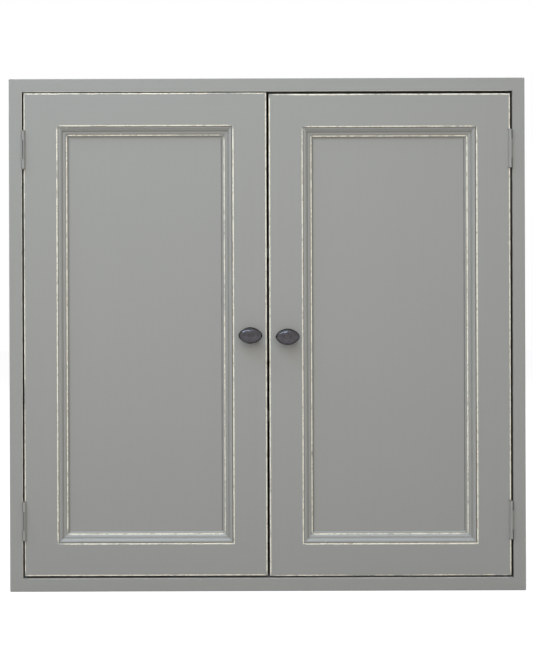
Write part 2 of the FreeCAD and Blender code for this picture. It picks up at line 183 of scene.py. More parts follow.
def makeBrushedPaint():
    look = brushLook
    tree, given, out = startGroup("brushedPaint", [
        ("Colour", "Color", (0.32, 0.32, 0.3, 1)), ("Stroke Scale", "Vector", (150, 150, 4)),
        ("Stroke Tone", "Float", 0.05), ("Mottle Tone", "Float", 0.04), ("Sheen Break", "Float", 0.1),
        ("Seed", "Float", 0.0)],
        [("Colour", "Color"), ("Roughness", "Float"), ("Height", "Float")])
    spot = objectSpot(tree)
    stretched = stretchSpot(tree, spot, given["Stroke Scale"])
    strokes = noise(tree, stretched, 1.0, look["strokeDetail"], given["Seed"], look["strokeRoughness"])
    mottle = noise(tree, spot, look["mottleScale"], look["mottleDetail"], given["Seed"])
    pebble = noise(tree, spot, look["pebbleScale"], look["pebbleDetail"])
    strokeOff, mottleOff = fromMiddle(tree, strokes), fromMiddle(tree, mottle)
    tone = calc(tree, "MULTIPLY_ADD", strokeOff, given["Stroke Tone"], 1.0)
    tone = calc(tree, "MULTIPLY_ADD", mottleOff, given["Mottle Tone"], tone)
    tree.links.new(scaleColour(tree, given["Colour"], tone), out["Colour"])
    rough = calc(tree, "MULTIPLY_ADD", strokeOff, given["Sheen Break"], look["roughness"])
    tree.links.new(calc(tree, "MULTIPLY_ADD", mottleOff, given["Sheen Break"], rough), out["Roughness"])
    tree.links.new(calc(tree, "MULTIPLY_ADD", pebble, look["pebbleShare"], strokes), out["Height"])
    return tree


# Rectangles that face the front, with a value for each side
sideNames = ("Left", "Right", "Bottom", "Top")
rectangleSockets = [("Centre", "Vector", (0, 0, 0)), ("Half Size", "Vector", (0.1, 0, 0.1)),
                    *((name, "Float", 1.0) for name in sideNames)]


# Signed distance outside a rectangle, the value of its nearest side, and the distance from the nearest corner
def makeFrameDistance():
    tree, given, out = startGroup("frameDistance", rectangleSockets,
                                  [("Outside", "Float"), ("Side Value", "Float"), ("From Corner", "Float")])
    off = axesFrom(tree, given["Centre"])
    half = axesOf(tree, given["Half Size"])
    pastX = calc(tree, "SUBTRACT", calc(tree, "ABSOLUTE", off["X"]), half["X"])
    pastZ = calc(tree, "SUBTRACT", calc(tree, "ABSOLUTE", off["Z"]), half["Z"])
    tree.links.new(calc(tree, "MAXIMUM", pastX, pastZ), out["Outside"])
    tree.links.new(product(tree, calc(tree, "MINIMUM", pastX, pastZ), -1.0), out["From Corner"])
    across = blendValue(tree, calc(tree, "GREATER_THAN", off["X"], 0.0), given["Left"], given["Right"])
    along = blendValue(tree, calc(tree, "GREATER_THAN", off["Z"], 0.0), given["Bottom"], given["Top"])
    upright = calc(tree, "GREATER_THAN", pastX, pastZ)
    tree.links.new(blendValue(tree, upright, along, across), out["Side Value"])
    return tree


frameDistance = makeFrameDistance()


def distanceTo(tree, given):
    return placeGroup(tree, frameDistance, {key: given[key] for key in ("Centre", "Half Size", *sideNames)})


def depthBehind(tree, spot, face):
    return calc(tree, "SUBTRACT", axesOf(tree, spot)["Y"], face)


# Paint rubbed through along a rectangle of arrises, in patches, with a few nicks beside it
wearLook = {
    "slowScale": 8.0, "slowDetail": 2.0, "slowShare": 0.9,
    "fastScale": 70.0, "fastDetail": 4.0, "fastRoughness": 0.65,
    "raggedScale": 300.0, "raggedDetail": 3.0, "raggedRoughness": 0.7, "raggedSwing": 0.3, "raggedLeast": 0.85,
    "mostStrength": 1.25, "broadSwing": 0.45, "broadLeast": 0.55,     # stronger wear is broader
    "coverGain": 1.6, "coverStart": -0.35,                            # weak wear doesn't cover
    "nickScale": 190.0, "nickSize": 0.2, "nickRarity": 0.93, "nickReach": 1.9,
    "heartShare": 0.55, "timberFrom": 0.55,                           # timber in the heart of deep patches
}


def makeRubbedArris():
    look = wearLook
    tree, given, out = startGroup("rubbedArris", rectangleSockets + [
        ("Arris Y", "Float", 0.0), ("Width", "Float", 0.0016), ("Feather", "Float", 0.0004),
        ("Patchiness", "Float", 2.2), ("Depth Stretch", "Float", 1.8), ("Corner Reach", "Float", 0.008),
        ("Corner Loss", "Float", 0.55), ("Seed", "Float", 0.0)],
        [("Mask", "Float"), ("Timber", "Float")])
    distance = distanceTo(tree, given)
    spot = objectSpot(tree)
    behind = product(tree, depthBehind(tree, spot, given["Arris Y"]), given["Depth Stretch"])
    reach = hypotenuse(tree, behind, distance["Outside"])
    slow = noise(tree, spot, look["slowScale"], look["slowDetail"], given["Seed"])
    fast = noise(tree, spot, look["fastScale"], look["fastDetail"], given["Seed"], look["fastRoughness"])
    ragged = noise(tree, spot, look["raggedScale"], look["raggedDetail"], given["Seed"], look["raggedRoughness"])
    patchOff = calc(tree, "ADD", product(tree, fromMiddle(tree, slow), look["slowShare"]), fromMiddle(tree, fast))
    strength = calc(tree, "MULTIPLY_ADD", patchOff, given["Patchiness"], distance["Side Value"])
    nearCorner = fadeOut(tree, distance["From Corner"], given["Corner Reach"])
    strength = calc(tree, "SUBTRACT", strength, product(tree, nearCorner, given["Corner Loss"]))
    strength = calc(tree, "MAXIMUM", calc(tree, "MINIMUM", strength, look["mostStrength"]), 0.0)
    ragged = calc(tree, "MULTIPLY_ADD", ragged, look["raggedSwing"], look["raggedLeast"])
    broad = calc(tree, "MULTIPLY_ADD", calc(tree, "MINIMUM", strength, 1.0), look["broadSwing"], look["broadLeast"])
    here = product(tree, given["Width"], broad, ragged)
    cover = calc(tree, "MULTIPLY_ADD", strength, look["coverGain"], look["coverStart"], clamp=True)
    line = calc(tree, "DIVIDE", calc(tree, "SUBTRACT", here, reach), given["Feather"], clamp=True)
    cells = addNode(tree, "TexVoronoi", {"Vector": spot, "Scale": look["nickScale"], "Randomness": 1.0}).outputs
    chance = addNode(tree, "SeparateColor", {0: cells["Color"]}).outputs
    small = calc(tree, "LESS_THAN", cells["Distance"], product(tree, chance["Green"], look["nickSize"]))
    chosen = calc(tree, "GREATER_THAN", chance["Red"], look["nickRarity"])
    near = calc(tree, "LESS_THAN", reach, product(tree, given["Width"], look["nickReach"]))
    nick = product(tree, small, chosen, near)
    tree.links.new(calc(tree, "MAXIMUM", product(tree, line, cover), nick), out["Mask"])
    heart = calc(tree, "SUBTRACT", product(tree, here, look["heartShare"]), reach)
    heart = calc(tree, "DIVIDE", heart, given["Feather"], clamp=True)
    deep = calc(tree, "GREATER_THAN", fast, look["timberFrom"])
    tree.links.new(product(tree, heart, deep, cover), out["Timber"])
    return tree


# Painted shade in creases and gaps spreads unevenly
unevenLook = {"creaseScale": 60.0, "gapScale": 90.0, "detail": 3.0, "swing": 0.8, "least": 0.6}


def unevenLength(tree, spot, scale, length):
    wander = noise(tree, spot, scale, unevenLook["detail"])
    share = calc(tree, "MULTIPLY_ADD", wander, unevenLook["swing"], unevenLook["least"])
    return product(tree, length, share)


# A mask along a rectangle, down to a depth behind the faces: painted shade in creases and on gap lips, and painted
# light
def makeCreaseShade():
    tree, given, out = startGroup("creaseShade", rectangleSockets + [
        ("Spread", "Float", 0.002), ("Face Y", "Float", 0.0), ("Depth", "Float", 10.0)],
        [("Mask", "Float")])
    distance = distanceTo(tree, given)
    spot = objectSpot(tree)
    spread = unevenLength(tree, spot, unevenLook["creaseScale"], given["Spread"])
    mask = fadeOut(tree, calc(tree, "ABSOLUTE", distance["Outside"]), spread)
    mask = calc(tree, "MULTIPLY", mask, distance["Side Value"], clamp=True)
    shallow = fadeOut(tree, depthBehind(tree, spot, given["Face Y"]), given["Depth"])
    tree.links.new(product(tree, mask, shallow), out["Mask"])
    return tree


# Painted shade in the narrow gap round a door, darkest just behind the faces
def makePaintedGapShade():
    tree, given, out = startGroup("paintedGapShade", rectangleSockets + [
        ("Face Y", "Float", 0.0), ("Start", "Float", 0.001), ("Depth", "Float", 0.02), ("Reach", "Float", 0.001)],
        [("Mask", "Float")])
    distance = distanceTo(tree, given)
    spot = objectSpot(tree)
    behind = depthBehind(tree, spot, given["Face Y"])
    inGap = calc(tree, "LESS_THAN", calc(tree, "ABSOLUTE", distance["Outside"]), given["Reach"])
    start = unevenLength(tree, spot, unevenLook["gapScale"], given["Start"])
    rise = calc(tree, "DIVIDE", calc(tree, "SUBTRACT", behind, start), given["Start"], clamp=True)
    fade = fadeOut(tree, behind, given["Depth"])
    tree.links.new(product(tree, rise, fade, inGap, distance["Side Value"]), out["Mask"])
    return tree


# Dark wax and painted shade at the rim and behind the crown of an oval knob
def makeRimWaxAndShade():
    tree, given, out = startGroup("rimWaxAndShade", [
        ("Centre", "Vector", (0, 0, 0)), ("Half Size", "Vector", (0.02, 0, 0.01)), ("Rim Y", "Float", 0.0),
        ("Start", "Float", 0.84), ("End", "Float", 1.0)],
        [("Mask", "Float")])
    off = axesFrom(tree, given["Centre"])
    half = axesOf(tree, given["Half Size"])
    radius = hypotenuse(tree, *(calc(tree, "DIVIDE", off[axis], half[axis]) for axis in "XZ"))
    span = calc(tree, "SUBTRACT", given["End"], given["Start"])
    rim = calc(tree, "DIVIDE", calc(tree, "SUBTRACT", radius, given["Start"]), span, clamp=True)
    behind = calc(tree, "GREATER_THAN", axesOf(tree, objectSpot(tree))["Y"], given["Rim Y"])
    tree.links.new(calc(tree, "MAXIMUM", rim, behind), out["Mask"])
    return tree


# Bare softwood, sawn from boards that run upright
pineLook = {
    "boardSwing": 0.22, "boardLeast": 0.86, "boardSeed": 7.31,
    "growthDetail": 1.5, "growthRoughness": 0.4, "growthDistortion": 0.25,
    "lateSharpness": 2.6, "lateShare": 0.75,
    "fibreStretch": (900, 900, 14), "fibreDetail": 3.0, "fibreSwing": 0.35, "fibreLeast": 0.82, "fibreDepth": 0.6,
    "knotStretch": (7, 0, 3.2), "knotRandomness": 0.9, "knotShrink": 14.0, "knotEdge": 0.6, "knotRarity": 0.6,
    "knotShare": 0.8, "knotColour": (0.12, 0.06, 0.03, 1),
    "jointWidth": 0.9 * mm, "jointColour": (0.03, 0.02, 0.012, 1), "jointDepth": -4.0,
    "roughness": 0.6, "roughSwing": 0.2,
}


def makePineGrain():
    look = pineLook
    tree, given, out = startGroup("pineGrain", [
        ("Early Wood", "Color", (0.55, 0.41, 0.25, 1)), ("Late Wood", "Color", (0.38, 0.245, 0.12, 1)),
        ("Board Width", "Float", 0.111), ("Stretch", "Vector", (16, 16, 1.1)), ("Rings", "Float", 14.0),
        ("Joints", "Float", 0.0)],
        [("Colour", "Color"), ("Height", "Float"), ("Roughness", "Float")])
    spot = objectSpot(tree)
    across = calc(tree, "DIVIDE", axesOf(tree, spot)["X"], given["Board Width"])
    board = calc(tree, "ROUND", across)
    fromEdge = calc(tree, "SUBTRACT", 0.5, calc(tree, "ABSOLUTE", calc(tree, "SUBTRACT", across, board)))
    fromEdge = product(tree, fromEdge, given["Board Width"])
    joint = product(tree, fadeOut(tree, fromEdge, look["jointWidth"]), given["Joints"])
    boardTone = addNode(tree, "TexWhiteNoise", {"W": board}, noise_dimensions="1D").outputs["Value"]
    boardTone = calc(tree, "MULTIPLY_ADD", boardTone, look["boardSwing"], look["boardLeast"])
    seed = product(tree, board, look["boardSeed"])
    growth = noise(tree, stretchSpot(tree, spot, given["Stretch"]), 1.0, look["growthDetail"], seed,
                   look["growthRoughness"], look["growthDistortion"])
    ring = calc(tree, "FRACT", product(tree, growth, given["Rings"]))
    late = calc(tree, "POWER", ring, look["lateSharpness"])
    fibre = noise(tree, stretchSpot(tree, spot, look["fibreStretch"]), 1.0, look["fibreDetail"], seed)
    knots = addNode(tree, "TexVoronoi", {"Vector": stretchSpot(tree, spot, look["knotStretch"]), "Scale": 1.0,
                                         "Randomness": look["knotRandomness"]}).outputs
    chance = addNode(tree, "SeparateColor", {0: knots["Color"]}).outputs
    knot = calc(tree, "SUBTRACT", 1.0, product(tree, knots["Distance"], look["knotShrink"]), clamp=True)
    chosen = calc(tree, "GREATER_THAN", chance["Red"], look["knotRarity"])
    knot = product(tree, calc(tree, "POWER", knot, look["knotEdge"]), chosen)
    colour = blendColour(tree, product(tree, late, look["lateShare"]), given["Early Wood"], given["Late Wood"])
    fibreTone = calc(tree, "MULTIPLY_ADD", fibre, look["fibreSwing"], look["fibreLeast"])
    colour = scaleColour(tree, colour, product(tree, fibreTone, boardTone))
    colour = blendColour(tree, product(tree, knot, look["knotShare"]), colour, look["knotColour"])
    tree.links.new(blendColour(tree, joint, colour, look["jointColour"]), out["Colour"])
    height = calc(tree, "MULTIPLY_ADD", fibre, look["fibreDepth"], late)
    tree.links.new(calc(tree, "MULTIPLY_ADD", joint, look["jointDepth"], height), out["Height"])
    tree.links.new(calc(tree, "MULTIPLY_ADD", fibre, look["roughSwing"], look["roughness"]), out["Roughness"])
    return tree


# Heads of nails in upright rows of boards, two to a board at each of four heights
nailLook = {"edge": 9.0, "crown": 3.0, "depth": 4.0, "colour": (0.20, 0.18, 0.165, 1)}
nailRows = ("Row 1", "Row 2", "Row 3", "Row 4")


def makeNailHeads():
    tree, given, out = startGroup("nailHeads", [
        ("Board Pitch", "Float", 0.111), ("Spread", "Float", 0.034), ("Radius", "Float", 0.0026),
        *((row, "Float", 0.0) for row in nailRows)],
        [("Mask", "Float"), ("Height", "Float")])
    spot = axesOf(tree, objectSpot(tree))
    boards = calc(tree, "DIVIDE", spot["X"], given["Board Pitch"])
    aside = calc(tree, "SUBTRACT", boards, calc(tree, "ROUND", boards))
    aside = calc(tree, "ABSOLUTE", product(tree, aside, given["Board Pitch"]))
    aside = calc(tree, "SUBTRACT", aside, given["Spread"])
    nearest = None
    for row in nailRows:
        away = calc(tree, "ABSOLUTE", calc(tree, "SUBTRACT", spot["Z"], given[row]))
        nearest = away if nearest is None else calc(tree, "MINIMUM", nearest, away)
    inside = fadeOut(tree, hypotenuse(tree, aside, nearest), given["Radius"])
    tree.links.new(calc(tree, "MULTIPLY", inside, nailLook["edge"], clamp=True), out["Mask"])
    tree.links.new(calc(tree, "MULTIPLY", inside, nailLook["crown"], clamp=True), out["Height"])
    return tree


brushedPaint = makeBrushedPaint()
rubbedArris = makeRubbedArris()
creaseShade = makeCreaseShade()
paintedGapShade = makePaintedGapShade()
rimWaxAndShade = makeRimWaxAndShade()
pineGrain = makePineGrain()
nailHeads = makeNailHeads()
print("node groups built")


# Grey eggshell paint over a cream undercoat, with bare softwood behind where the paint stops
paint = {
    "grey": (0.329, 0.322, 0.299, 1),
    "cream": (0.95, 0.885, 0.735, 1),
    "timber": (0.62, 0.53, 0.43, 1),
    # painted shade, with some dirt, in creases and beside the hinge barrels
    "paintedShade": (0.13, 0.125, 0.115, 1),
    # painted shade in the gaps round the doors and on their lips
    "gapShade": (0.020, 0.018, 0.016, 1),
    # painted light on upward shoulders and on the bottom board inside the gap
    "paintedLight": (0.47, 0.49, 0.50, 1),
    "soilScale": 120.0, "soilDetail": 3.0, "soilTone": 1.6, "cleanest": 1.02,     # dirt on the undercoat
    "strokeTone": 0.05, "mottleTone": 0.05, "sheenBreak": 0.12,
    "acrossStrokes": 170.0, "alongStrokes": 3.5,        # strokes to a metre
    "bumpDistance": 0.12 * mm, "filmStep": 1.6,         # the film's thickness, in bump distances
    "bareRoughness": 0.12,                              # more where the paint is gone
}


def strokeScale(along):
    return tuple(paint["alongStrokes"] if axis == along else paint["acrossStrokes"] for axis in "XYZ")


# Blends a colour of painted shade and painted light in, along a node group's mask
def blendPaintedLight(tree, colour, group, inputs, film):
    return blendColour(tree, placeGroup(tree, group, inputs)["Mask"], colour, paint[film])


def finishMaterial(material, tree, colour, roughness, height, bumpDistance, metallic=0.0):
    bump = addNode(tree, "Bump", {"Strength": 1.0, "Distance": bumpDistance, "Height": height})
    shader = addNode(tree, "BsdfPrincipled", {"Base Color": colour, "Roughness": roughness,
                                              "Metallic": metallic, "Normal": bump.outputs[0]})
    tree.links.new(shader.outputs[0], addNode(tree, "OutputMaterial").inputs[0])
    return material


def startMaterial(name):
    material = bpy.data.materials.new(name)
    material.use_nodes = True
    material.node_tree.nodes.clear()
    return material, material.node_tree


def paintedMaterial(name, along, seed=0.0, rubs=(), creases=(), gapShade=None, bareFrom=None, paintedLights=(), lip=None,
                    joints=0.0):
    # rubs are wear; creases, lip and the gap's shade are painted shade, and the pale patches painted light; all are
    # inputs of their node groups; behind bareFrom the wood has no paint
    material, tree = startMaterial(name)
    coat = placeGroup(tree, brushedPaint, {
        "Colour": paint["grey"], "Stroke Scale": strokeScale(along), "Stroke Tone": paint["strokeTone"],
        "Mottle Tone": paint["mottleTone"], "Sheen Break": paint["sheenBreak"], "Seed": seed})
    colour, roughness, height = coat["Colour"], coat["Roughness"], coat["Height"]
    # painted shade in creases and painted light on pale patches
    for film, patches in (("paintedShade", creases), ("paintedLight", paintedLights)):
        for patch in patches:
            colour = blendPaintedLight(tree, colour, creaseShade, patch, film)
    # painted shade in the gap round a door
    if gapShade:
        colour = blendPaintedLight(tree, colour, paintedGapShade, gapShade, "gapShade")
    if rubs:
        bare, timber = None, None
        for rub in rubs:
            worn = placeGroup(tree, rubbedArris, rub)
            bare = worn["Mask"] if bare is None else calc(tree, "MAXIMUM", bare, worn["Mask"])
            timber = worn["Timber"] if timber is None else calc(tree, "MAXIMUM", timber, worn["Timber"])
        under = blendColour(tree, timber, paint["cream"], paint["timber"])
        soil = noise(tree, objectSpot(tree), paint["soilScale"], paint["soilDetail"])
        soil = calc(tree, "MULTIPLY_ADD", fromMiddle(tree, soil), paint["soilTone"], 1.0)
        soil = calc(tree, "MINIMUM", soil, paint["cleanest"])
        colour = blendColour(tree, bare, colour, scaleColour(tree, under, soil))
        roughness = calc(tree, "MULTIPLY_ADD", bare, paint["bareRoughness"], roughness)
        height = calc(tree, "SUBTRACT", height, product(tree, bare, paint["filmStep"]))
    # painted shade on a gap's lips, over the wear
    if lip:
        colour = blendPaintedLight(tree, colour, creaseShade, lip, "gapShade")
    if bareFrom is not None:
        wood = placeGroup(tree, pineGrain, {"Board Width": backNails["Board Pitch"], "Joints": joints})
        nail = placeGroup(tree, nailHeads, backNails)
        behind = calc(tree, "GREATER_THAN", axesOf(tree, objectSpot(tree))["Y"], bareFrom)
        nailed = blendColour(tree, nail["Mask"], wood["Colour"], nailLook["colour"])
        colour = blendColour(tree, behind, colour, nailed)
        roughness = blendValue(tree, behind, roughness, wood["Roughness"])
        bareHeight = calc(tree, "MULTIPLY_ADD", nail["Height"], nailLook["depth"], wood["Height"])
        height = blendValue(tree, behind, height, bareHeight)
    return finishMaterial(material, tree, colour, roughness, height, paint["bumpDistance"])


def dress(node, material):
    piece = nodes[node]
    piece.data.materials.clear()
    piece.data.materials.append(material)


def rectangleInputs(low, high, values):
    centre = (low + high) / 2
    half = (high - low) / 2
    return {"Centre": (centre.x, 0, centre.z), "Half Size": (half.x, 0, half.z), **dict(zip(sideNames, values))}


def solidsOf(node, axis, apart=3 * mm):
    # Lowest and highest corners of a node's solids, which stand apart along the axis
    points = sorted((vertex.co for vertex in nodes[node].data.vertices), key=lambda point: point[axis])
    groups = [[points[0]]]
    for before, point in zip(points, points[1:]):
        if point[axis] - before[axis] > apart:
            groups.append([])
        groups[-1].append(point)
    return [(Vector([min(point[i] for point in group) for i in range(3)]),
             Vector([max(point[i] for point in group) for i in range(3)])) for group in groups]


# Hinge barrels, with painted shade and dirt in the creases beside them
# the painted shade beside each barrel is shifted a little from the barrel's middle
barrelCrease = {"inset": 0.1 * mm, "spread": 1.0 * mm, "shift": {"left": 0.6 * mm, "right": -1.4 * mm},
                "sides": {"left": (1.6, 1.1, 0.6, 1.0), "right": (1.6, 1.0, 0.9, 0.9)}}


def barrelCreases(side):
    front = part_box(side + "_hinge_frame_leaves")[0].y
    creases = []
    for low, high in solidsOf(side + "_hinge_pins", 2):
        half = (low.y + high.y) / 2 - front - barrelCrease["inset"]
        middle = (low.x + high.x) / 2 + barrelCrease["shift"][side]
        creases.append({**rectangleInputs(Vector((middle - half, 0, low.z)), Vector((middle + half, 0, high.z)),
                                          barrelCrease["sides"][side]), "Spread": barrelCrease["spread"]})
    return creases


# Carcass: boards painted all over but for their rear edges, and nails through the back boards; painted shade in the
# gaps and on their lips, and painted light on the bottom board inside the gap
bareDepth = 0.4 * mm           # the paint stops this far short of the carcass's rear
bareFrom = carcassHigh.y - bareDepth
nailInset = 4.5 * mm           # from the back boards' ends to their nails
backLow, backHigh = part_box("back_board_4")
shelfMiddles = [(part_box(shelf)[0].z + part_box(shelf)[1].z) / 2 for shelf in ("shelf_lower", "shelf_upper")]
nailHeights = (backLow.z + nailInset, *shelfMiddles, backHigh.z - nailInset)
backNails = {"Board Pitch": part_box("back_board_5")[0].x - backLow.x, "Spread": 34 * mm, "Radius": 2.6 * mm,
             **dict(zip(nailRows, nailHeights))}
openingLow = Vector((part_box("left_side")[1].x, 0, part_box("bottom_board")[1].z))
openingHigh = Vector((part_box("right_side")[0].x, 0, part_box("top_board")[0].z))
# where painted shade in a gap begins behind the faces, and how near the gap's edge it stays
gapShadeSpan = {"Start": 0.4 * mm, "Reach": 1.0 * mm}
lipDepth = 2.2 * mm            # the painted shade on a gap's lips ends this far behind the faces
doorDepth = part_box("left_door_hinge_stile")[1].y - carcassLow.y
openingWearAndPaintedLight = {                # strengths at left, right, bottom and top
    "rub": (1.60, 0.95, 0.45, 0.45), "width": 1.1 * mm, "feather": 0.35 * mm, "patchiness": 1.0, "rubSeed": 31.0,
    "gapShade": (1, 1, 0.0, 0.4), "lip": (0.60, 2.00, 0.0, 0.0), "lipSpread": 1.5 * mm,
    "paintedLight": (0, 0, 1, 0), "paintedLightSpread": 0.5 * mm,
    "boardSeed": 1.7, "backSeed": 4.2, "sideSeed": 6.1,
}


def openingInputs(kind, **inputs):
    return {**rectangleInputs(openingLow, openingHigh, openingWearAndPaintedLight[kind]), "Face Y": carcassLow.y, **inputs}


openingRub = {**rectangleInputs(openingLow, openingHigh, openingWearAndPaintedLight["rub"]), "Arris Y": carcassLow.y,
              "Width": openingWearAndPaintedLight["width"], "Feather": openingWearAndPaintedLight["feather"],
              "Patchiness": openingWearAndPaintedLight["patchiness"], "Seed": openingWearAndPaintedLight["rubSeed"]}
# Painted shade in the gap round the doors and on its lips, and painted light on the bottom board inside the gap
openingGapShade = openingInputs("gapShade", Depth=doorDepth, **gapShadeSpan)
openingLip = openingInputs("lip", Spread=openingWearAndPaintedLight["lipSpread"], Depth=lipDepth)
gapPaintedLight = openingInputs("paintedLight", Spread=openingWearAndPaintedLight["paintedLightSpread"], Depth=doorDepth)
carcassAcross = paintedMaterial("carcassPaintAcross", "X", openingWearAndPaintedLight["boardSeed"], [openingRub], gapShade=openingGapShade,
                                bareFrom=bareFrom, paintedLights=[gapPaintedLight], lip=openingLip)
carcassUpright = paintedMaterial("carcassPaintUpright", "Z", openingWearAndPaintedLight["backSeed"], bareFrom=bareFrom, joints=1.0)
for board in ("top_board", "bottom_board", "shelf_lower", "shelf_upper", "hanging_rail"):
    dress(board, carcassAcross)
for side in sides:
    sidePaint = paintedMaterial(side + "SidePaint", "Z", openingWearAndPaintedLight["sideSeed"], [openingRub],
                                barrelCreases(side), openingGapShade, bareFrom, lip=openingLip)
    dress(side + "_side", sidePaint)
    dress(side + "_hinge_frame_leaves", sidePaint)
for node in nodes:
    if node.startswith("back_board"):
        dress(node, carcassUpright)
print("carcass painted")


# Doors: the paint is rubbed through along the arrises of the frame and of the moulding; painted shade in the
# moulding's creases, in the gaps and on their lips, and painted light on the bottom moulding's shoulders
doorWearAndPaintedLight = {
    "width": {"outer": 2.3 * mm, "inner": 2.2 * mm, "moulding": 1.8 * mm}, "feather": 0.35 * mm,
    "depthStretch": {"outer": 2.4, "inner": 3.0, "moulding": 1.3},      # how soon the wear ends behind an arris
    "filletShare": 0.79,           # of the moulding's width, from the frame to its worn fillet
    "filletDepthShare": 0.68,      # of the panel's sink, below the frame's face
    # creases, painted shade with some dirt: share of the moulding's width from the frame, spread, strength at left,
    # right, bottom and top
    "creases": [(0.03, 1.3 * mm, (0.10, 1.00, 0.10, 0.50)), (0.18, 2.2 * mm, (0.0, 0.0, 0.0, 0.55)),
                (0.42, 3.2 * mm, (0.04, 0.20, 0.0, 0.0)), (0.90, 1.1 * mm, (0.80, 0.0, 0.0, 0.50)),
                (1.0, 1.3 * mm, (0.10, 1.10, 0.10, 0.10))],
    # the pale patches below are painted light on the bottom moulding's upward shoulders, in the same columns
    "paintedLights": [(0.28, 2.6 * mm, (0, 0, 0.60, 0)), (0.62, 2.2 * mm, (0, 0, 0.60, 0)),
              (0.90, 1.6 * mm, (0, 0, 0.30, 0))],
    "outer": {"left": (0.80, 1.30, 1.15, 0.90), "right": (1.20, 0.90, 0.62, 1.05)},
    "inner": {"left": (1.10, 1.05, 0.95, 1.10), "right": (1.15, 1.25, 0.95, 1.00)},
    "moulding": {"left": (0.95, 0.95, 1.05, 0.90), "right": (1.10, 1.20, 0.95, 1.00)},
    # painted shade in the gap round each door and on its lips
    "gapShade": {"left": (1, 1, 0.2, 0.2), "right": (1, 1, 0.1, 0.5)},
    "lip": {"left": (1.6, 0.65, 0.0, 0.0), "right": (0.65, 0.2, 0.0, 0.1)}, "lipSpread": 1.0 * mm,
    "seeds": {"left": 8.0, "right": 13.0}, "seedStep": 5.0, "arrisStep": 4.1, "railStep": 2,
}


def paintDoor(side):
    wearAndPaintedLight = doorWearAndPaintedLight
    hingeLow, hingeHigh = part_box(side + "_door_hinge_stile")
    meetLow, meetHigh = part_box(side + "_door_meeting_stile")
    topLow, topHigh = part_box(side + "_door_top_moulding")
    sideLow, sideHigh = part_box(side + "_door_hinge_moulding")
    face = hingeLow.y
    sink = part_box(side + "_door_panel")[0].y - face
    inset = Vector((1, 0, 1)) * (sideHigh.x - sideLow.x)
    outerLow = Vector((min(hingeLow.x, meetLow.x), 0, hingeLow.z))
    outerHigh = Vector((max(hingeHigh.x, meetHigh.x), 0, hingeHigh.z))
    sightLow = Vector((topLow.x, 0, sideLow.z))
    sightHigh = Vector((topHigh.x, 0, sideHigh.z))
    toFillet = inset * wearAndPaintedLight["filletShare"]
    arrises = (("outer", outerLow, outerHigh, face), ("inner", sightLow, sightHigh, face),
               ("moulding", sightLow + toFillet, sightHigh - toFillet, face + sink * wearAndPaintedLight["filletDepthShare"]))
    seed = wearAndPaintedLight["seeds"][side]
    rubs = [{**rectangleInputs(low, high, wearAndPaintedLight[key][side]), "Arris Y": arrisY, "Width": wearAndPaintedLight["width"][key],
             "Feather": wearAndPaintedLight["feather"], "Depth Stretch": wearAndPaintedLight["depthStretch"][key],
             "Seed": wearAndPaintedLight["seedStep"] * seed + wearAndPaintedLight["arrisStep"] * number}
            for number, (key, low, high, arrisY) in enumerate(arrises)]
    # painted shade along the moulding's creases, and painted light on its bottom shoulders
    creases, paintedLights = [[{**rectangleInputs(sightLow + inset * share, sightHigh - inset * share, strengths),
                        "Spread": spread} for share, spread, strengths in wearAndPaintedLight[kind]]
                      for kind in ("creases", "paintedLights")]
    # painted shade in the gap round the door and on the door's lips
    edge = {**rectangleInputs(outerLow, outerHigh, wearAndPaintedLight["gapShade"][side]), "Face Y": face, "Depth": doorDepth,
            **gapShadeSpan}
    lip = {**rectangleInputs(outerLow, outerHigh, wearAndPaintedLight["lip"][side]), "Spread": wearAndPaintedLight["lipSpread"], "Face Y": face,
           "Depth": lipDepth}
    stile = paintedMaterial(side + "DoorStilePaint", "Z", seed, rubs, barrelCreases(side), edge, lip=lip)
    upright = paintedMaterial(side + "DoorPaintUpright", "Z", seed, rubs, creases)
    across = paintedMaterial(side + "DoorPaintAcross", "X", seed + wearAndPaintedLight["railStep"], rubs, creases, edge,
                             paintedLights=paintedLights, lip=lip)
    for piece in ("door_hinge_stile", "door_meeting_stile", "hinge_door_leaves"):
        dress(side + "_" + piece, stile)
    for piece in ("panel", "hinge_moulding", "meeting_moulding"):
        dress(side + "_door_" + piece, upright)
    for piece in ("top_rail", "bottom_rail", "top_moulding", "bottom_moulding"):
        dress(side + "_door_" + piece, across)


for side in sides:
    paintDoor(side)
print("doors painted")


# Metals and plastic: bumps in metres, dents and clouds to a metre
metalGrain = {"detail": 5.0, "roughness": 0.6, "roughSwing": 0.25, "dentWander": 0.3, "dentSmoothness": 0.6,
              "dentMiddle": 0.4, "dentTone": 0.5, "waxAndShadeDarkening": 0.75}
mattGrain = {"detail": 4.0, "swing": 0.3}
steelLook = {"colour": (0.46, 0.45, 0.43), "roughness": 0.38, "cloudScale": 260.0, "cloudTone": 0.35,
             "bump": 0.05 * mm}
plasticLook = {"colour": (0.62, 0.60, 0.55), "roughness": 0.45, "grainScale": 900.0, "bump": 0.03 * mm}
ferriteLook = {"colour": (0.035, 0.034, 0.036), "roughness": 0.55, "grainScale": 1500.0, "bump": 0.05 * mm}


